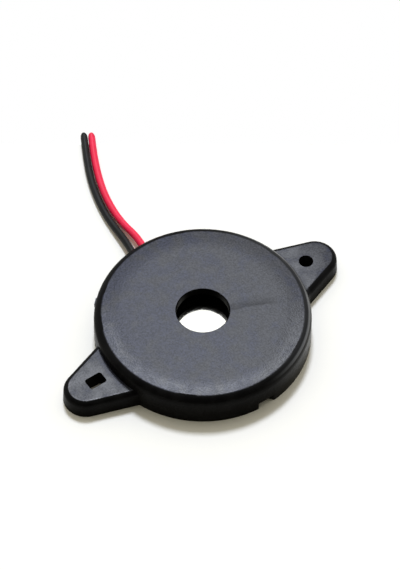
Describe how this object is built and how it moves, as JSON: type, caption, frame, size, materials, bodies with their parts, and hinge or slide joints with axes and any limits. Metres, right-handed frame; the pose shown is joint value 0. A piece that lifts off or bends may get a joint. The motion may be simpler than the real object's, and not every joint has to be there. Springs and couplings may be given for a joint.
{
  "type": "active buzzer",
  "caption": "Flat round self-driven piezo sounder with a sound hole, two fixing ears, a round hole and a slot, and two wire leads.",
  "frame": {"origin": "middle of the flat rear face, on the axis of the sound hole", "axes": "+X along the ears to the round hole, +Y out along the leads, +Z out of the sound hole"},
  "size_m": [0.0544, 0.0751, 0.0055],
  "materials": {
    "case_plastic": "fine-grained black moulding, smooth sides",
    "cover_plastic": "satin black moulding",
    "nickel_plate": "bright rolled nickel alloy",
    "piezo_ceramic": "fired lead-zirconate ceramic",
    "silver_electrode": "fired silver",
    "adhesive": "cured silicone bead",
    "sealant": "set hot-melt dab",
    "board_laminate": "solder-masked laminate",
    "chip_ceramic": "glazed chip",
    "tinned_metal": "tin",
    "transistor_epoxy": "moulded epoxy",
    "jumper_enamel": "enamelled copper wire",
    "black_insulation": "extruded vinyl",
    "red_insulation": "extruded vinyl"
  },
  "bodies": {
    "root": {"case": "case_plastic", "rear_cover": "cover_plastic", "diaphragm_plate": "nickel_plate", "piezo_ceramic": "piezo_ceramic", "main_electrode": "silver_electrode", "feedback_electrode": "silver_electrode", "adhesive_ring": "adhesive", "circuit_board": "board_laminate", "collector_resistor": "chip_ceramic", "bias_resistor": "chip_ceramic", "feedback_resistor": "chip_ceramic", "resistor_terminals": "tinned_metal", "transistor_body": "transistor_epoxy", "transistor_pins": "tinned_metal", "main_jumper": "jumper_enamel", "feedback_jumper": "jumper_enamel", "ground_jumper": "jumper_enamel", "solder_joints": "tinned_metal", "lead_cores": "tinned_metal", "lead_sealant": "sealant", "black_lead": "black_insulation", "red_lead": "red_insulation", "lead_coil": "black_insulation", "black_tip": "tinned_metal", "red_tip": "tinned_metal"}
  },
  "joints": []
}
